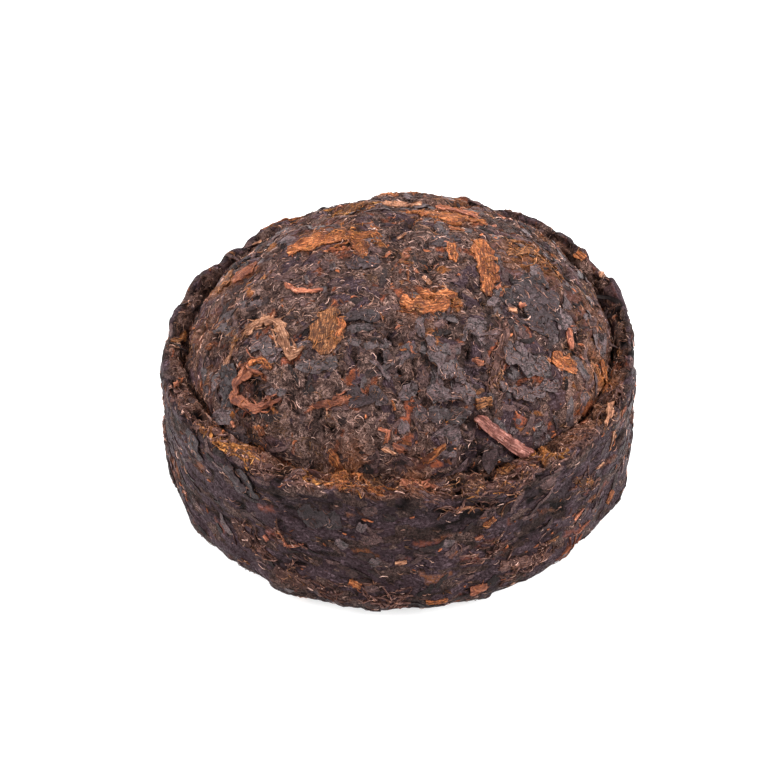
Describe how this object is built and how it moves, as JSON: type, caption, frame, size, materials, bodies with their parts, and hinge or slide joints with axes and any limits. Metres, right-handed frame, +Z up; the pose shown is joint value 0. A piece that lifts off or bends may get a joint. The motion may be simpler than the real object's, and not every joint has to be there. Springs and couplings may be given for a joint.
{
  "type": "pu erh tuocha",
  "caption": "Small nest of pressed ripe tea: a drum with a ragged rim, a dome of matted leaves inside the rim and a round hollow underneath.",
  "frame": {"origin": "middle of the nest's outline, on the flat ring that it stands on", "axes": "+Z up through the dome's top; -Y is the side where the groove inside the rim is shallow"},
  "size_m": [0.0256, 0.0255, 0.0138],
  "materials": {
    "pressed_tea": "dark brown pressed leaves, dull with a slight sheen, with ochre shreds and fine pale hairs"
  },
  "bodies": {
    "root": {"tea_nest": "pressed_tea"}
  },
  "joints": []
}
